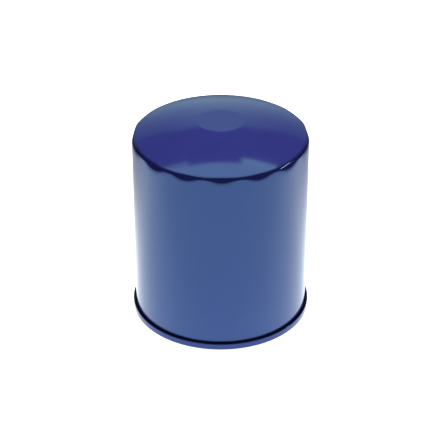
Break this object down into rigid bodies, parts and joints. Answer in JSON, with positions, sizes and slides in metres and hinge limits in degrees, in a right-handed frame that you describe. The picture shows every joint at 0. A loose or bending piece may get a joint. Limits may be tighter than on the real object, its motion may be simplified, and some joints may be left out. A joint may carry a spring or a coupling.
{
  "type": "spin-on oil filter",
  "caption": "Spin-on engine oil filter: painted can with a domed, fluted end, threaded base, gasket, and a pleated element with bypass and anti-drainback valves inside.",
  "frame": {"origin": "centre of the mounting gasket's sealing face, which is the lowest face of the filter", "axes": "+Z along the can's axis, from the gasket towards the closed dome; -Y faces the first wrench flat"},
  "size_m": [0.0962, 0.0962, 0.1135],
  "materials": {
    "can_paint": "high gloss blue enamel",
    "lid_paint": "high gloss blue enamel",
    "plate_steel": "oiled hot-rolled steel with a machined thread",
    "tinned_steel": "bright tinned sheet",
    "spring_steel": "oil-tempered spring wire",
    "gasket_rubber": "matt nitrile rubber",
    "valve_rubber": "moulded silicone rubber",
    "seal_rubber": "moulded nitrile rubber",
    "seam_compound": "cured sealing compound",
    "filter_paper": "resin-treated pleated paper",
    "end_adhesive": "cured plastisol",
    "valve_nylon": "moulded glass-filled nylon"
  },
  "bodies": {
    "housing": {"outer_can": "can_paint", "seaming_lid": "lid_paint", "seam_compound": "seam_compound", "tapping_plate": "plate_steel", "mounting_gasket": "gasket_rubber", "element_spring": "spring_steel", "drainback_collar": "valve_rubber"},
    "element": {"base_end_cap": "tinned_steel", "base_end_adhesive": "end_adhesive", "pleated_paper": "filter_paper", "paper_seam_clip": "tinned_steel", "centre_tube": "tinned_steel", "dome_end_adhesive": "end_adhesive", "dome_end_cap": "tinned_steel", "bypass_cage": "tinned_steel", "bypass_spring": "spring_steel"},
    "bypass_valve": {"bypass_poppet": "valve_nylon", "bypass_seal": "seal_rubber"},
    "drainback_skirt": {"drainback_skirt": "valve_rubber"}
  },
  "joints": [
    {"name": "element_float", "type": "slide", "parent": "housing", "child": "element", "axis": [0, 0, 1], "range_m": [0, 0.002], "stiffness_N_per_m": 6000, "springref_m": -0.005, "deforming": ["element_spring"]},
    {"name": "bypass_lift", "type": "slide", "parent": "element", "child": "bypass_valve", "axis": [0, 0, -1], "range_m": [0, 0.0032], "stiffness_N_per_m": 800, "springref_m": -0.0002, "deforming": ["bypass_spring"]},
    {"name": "drainback_lift", "type": "slide", "parent": "housing", "child": "drainback_skirt", "axis": [0, 0, 1], "range_m": [0, 0.0015], "stiffness_N_per_m": 150, "springref_m": -0.0003}
  ]
}
